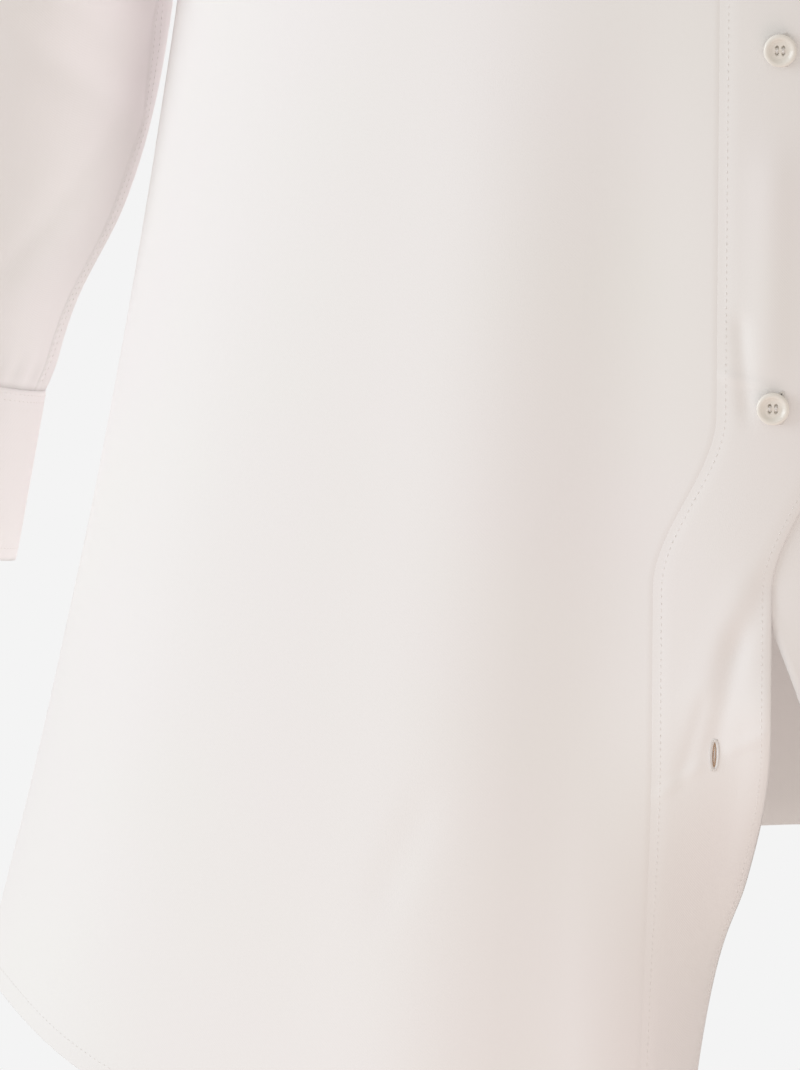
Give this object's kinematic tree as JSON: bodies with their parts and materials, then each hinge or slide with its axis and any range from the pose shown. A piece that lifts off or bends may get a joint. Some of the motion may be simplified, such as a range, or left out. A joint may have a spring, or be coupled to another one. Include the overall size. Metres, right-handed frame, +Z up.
{
  "type": "oversized shirt",
  "caption": "Long-sleeved buttoned shirt with collar, front band and cuffs, in worn hollow form, its lowest button open and the edge rolled back.",
  "frame": {"origin": "inside the neck, level with the high shoulder points, where a wearer or a hanger holds the shirt", "axes": "+Z up, -Y the way the wearer faces, +X to the wearer's left"},
  "size_m": [0.6798, 0.3326, 0.897],
  "materials": {
    "shirt_cloth": "plain off-white woven cotton, matt",
    "buttons": "off-white, polished"
  },
  "bodies": {
    "root": {"front_right": "shirt_cloth", "placket": "shirt_cloth", "front_left": "shirt_cloth", "back": "shirt_cloth", "sleeve_right": "shirt_cloth", "sleeve_left": "shirt_cloth", "cuff_right": "shirt_cloth", "cuff_left": "shirt_cloth", "collar_stand": "shirt_cloth", "collar_leaf": "shirt_cloth", "button_1": "buttons", "button_2": "buttons", "button_3": "buttons", "button_4": "buttons", "button_5": "buttons", "button_6": "buttons", "button_cuff_right": "buttons", "button_cuff_left": "buttons"}
  },
  "joints": []
}
